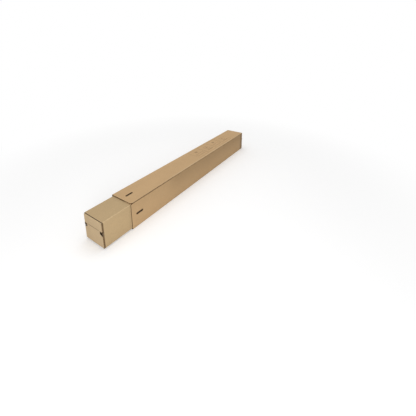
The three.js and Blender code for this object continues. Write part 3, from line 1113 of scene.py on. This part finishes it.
# %% Floor and world
AMBIENT = 0.62
FLOOR_DROP = 0.0004
FLOOR_SIZE = 60.0
FLOOR_WHITE = 0.86
FLOOR_LIFT = 0.215
FLOOR_FADE = (0.55, 1.35)
FLOOR_ROUGHNESS = 0.9
FLOOR_SHINE = 0.1
WHITE = (1.0, 1.0, 1.0, 1.0)


def looked_at(tree):
    """1 for rays from the camera and for those that gloss or glass sends on."""
    path = tree.nodes.new("ShaderNodeLightPath").outputs
    return largest(tree, path["Is Camera Ray"], path["Is Glossy Ray"], path["Is Transmission Ray"])


def floor_material():
    material = bpy.data.materials.new("Pale floor")
    material.use_nodes = True
    tree = material.node_tree
    shader = tree.nodes["Principled BSDF"]
    shader.inputs["Base Color"].default_value = (FLOOR_WHITE, FLOOR_WHITE, FLOOR_WHITE, 1.0)
    shader.inputs["Roughness"].default_value = FLOOR_ROUGHNESS
    shader.inputs["Specular IOR Level"].default_value = FLOOR_SHINE
    shader.inputs["Emission Color"].default_value = WHITE
    seen = looked_at(tree)
    plug(tree, product_of(tree, seen, FLOOR_LIFT), shader.inputs["Emission Strength"])
    white = tree.nodes.new("ShaderNodeEmission")
    distance = tree.nodes.new("ShaderNodeVectorMath")
    distance.operation = "LENGTH"
    coordinates = tree.nodes.new("ShaderNodeTexCoord")
    tree.links.new(coordinates.outputs["Object"], distance.inputs[0])
    fade = ramp(tree, distance.outputs["Value"], *FLOOR_FADE)
    blend = tree.nodes.new("ShaderNodeMixShader")
    plug(tree, product_of(tree, fade, seen), blend.inputs[0])
    tree.links.new(shader.outputs[0], blend.inputs[1])
    tree.links.new(white.outputs[0], blend.inputs[2])
    tree.links.new(blend.outputs[0], tree.nodes["Material Output"].inputs["Surface"])
    return material


def make_floor():
    mesh = bpy.data.meshes.new("floor")
    plane = bmesh.new()
    bmesh.ops.create_grid(plane, x_segments=1, y_segments=1, size=FLOOR_SIZE / 2)
    bmesh.ops.translate(plane, vec=(0.0, 0.0, -FLOOR_DROP), verts=plane.verts)
    plane.to_mesh(mesh)
    plane.free()
    mesh.materials.append(floor_material())
    floor = bpy.data.objects.new("floor", mesh)
    bpy.context.scene.collection.objects.link(floor)


def make_world():
    world = bpy.data.worlds.new("Studio")
    world.use_nodes = True
    tree = world.node_tree
    strength = ramp(tree, looked_at(tree), 0.0, 1.0, AMBIENT, 1.0)
    background = tree.nodes["Background"]
    background.inputs["Color"].default_value = WHITE
    plug(tree, strength, background.inputs["Strength"])
    bpy.context.scene.world = world


make_floor()
make_world()
bpy.context.scene.view_settings.view_transform = "Standard"
print("floor and world are set, ambient light", AMBIENT)

# %% [markdown]
# ## Lights
#
# The photograph has soft light from above, and a second source near the camera's side of the near end:
# the right walls are bright there and grow darker along the box. Two area lamps do that. A large one
# hangs over the box, and a smaller one stands to the front right, close enough for its light to fall off
# along the side.

# %% Area lamps
# Each lamp's place, the point it faces, its width in metres and its power in watts
LAMPS = {
    "overhead_lamp": ((-0.15, 0.1, 2.0), (0.0, 0.0, 0.0), 1.6, 10.5),
    "front_lamp": ((0.9, -1.25, 0.42), (0.05, -0.35, 0.05), 0.6, 6.2),
}


def soft_lamp(name, place, target, size, power):
    light = bpy.data.lights.new(name, "AREA")
    light.shape = "DISK"
    light.size = size
    light.energy = power
    lamp = bpy.data.objects.new(name, light)
    bpy.context.scene.collection.objects.link(lamp)
    lamp.location = place
    lamp.rotation_euler = (Vector(target) - Vector(place)).to_track_quat("-Z", "Y").to_euler()
    print(f"{name}: {power} W, {size} m wide")


for title, (place, target, size, power) in LAMPS.items():
    soft_lamp(title, place, target, size, power)

# %% [markdown]
# ## Camera
#
# The camera's place, direction and focal length come from fitting the box's own corners to the
# photograph. The box there stands well left of and above the middle, and its upright edges lean the way
# they do under a wide lens whose frame has been cropped, so the lens is shifted down rather than tilted
# more.

# %% Camera
PHOTO_SIDE = 416
FOCAL_PIXELS = 249.9
SENSOR = 36.0
AZIMUTH = 33.13
ELEVATION = 14.13
CENTRE_ROW = 110.0
CAMERA_PLACE = (0.7293, -0.9257, 0.6659)
NEAREST_SEEN = 0.01

camera_data = bpy.data.cameras.new("camera")
camera_data.sensor_width = SENSOR
camera_data.lens = FOCAL_PIXELS / PHOTO_SIDE * SENSOR
camera_data.shift_y = (CENTRE_ROW - PHOTO_SIDE / 2) / PHOTO_SIDE
camera_data.clip_start = NEAREST_SEEN
camera = bpy.data.objects.new("camera", camera_data)
bpy.context.scene.collection.objects.link(camera)
camera.location = CAMERA_PLACE
camera.rotation_euler = (math.radians(90.0 - ELEVATION), 0.0, math.radians(AZIMUTH))
bpy.context.scene.camera = camera
print(f"camera: {camera_data.lens:.2f} mm lens, shifted by {camera_data.shift_y:.3f}")

# %% [markdown]
# ## Finish
#


print("the scene is built")
